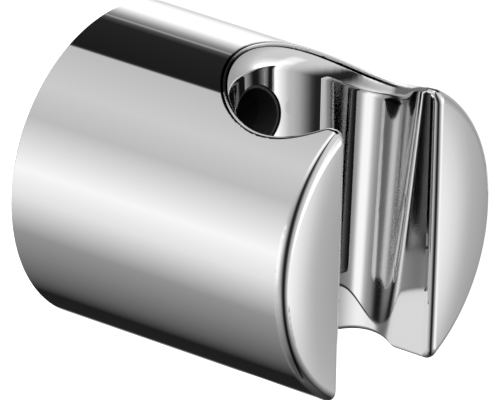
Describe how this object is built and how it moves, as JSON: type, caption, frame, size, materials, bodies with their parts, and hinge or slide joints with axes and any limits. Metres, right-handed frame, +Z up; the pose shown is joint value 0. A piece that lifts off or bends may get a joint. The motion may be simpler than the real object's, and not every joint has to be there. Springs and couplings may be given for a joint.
{
  "type": "hand shower holder",
  "caption": "Wall holder for a hand shower: a chrome cylinder with an upright conical socket, a front slot for the hose and a screw hole at the back of the socket.",
  "frame": {"origin": "centre of the round back face, on the plane of the wall", "axes": "+Y into the wall, -Y out to the front of the holder, +Z up along the socket, +X across"},
  "size_m": [0.045, 0.0488, 0.045],
  "materials": {
    "chrome_plating": "polished chrome plating on moulded plastic",
    "black_plastic": "black moulded plastic, fine satin",
    "screw_steel": "zinc-plated steel"
  },
  "bodies": {
    "root": {"holder_body": "chrome_plating", "wall_insert": "black_plastic", "insert_screws": "screw_steel"}
  },
  "joints": []
}
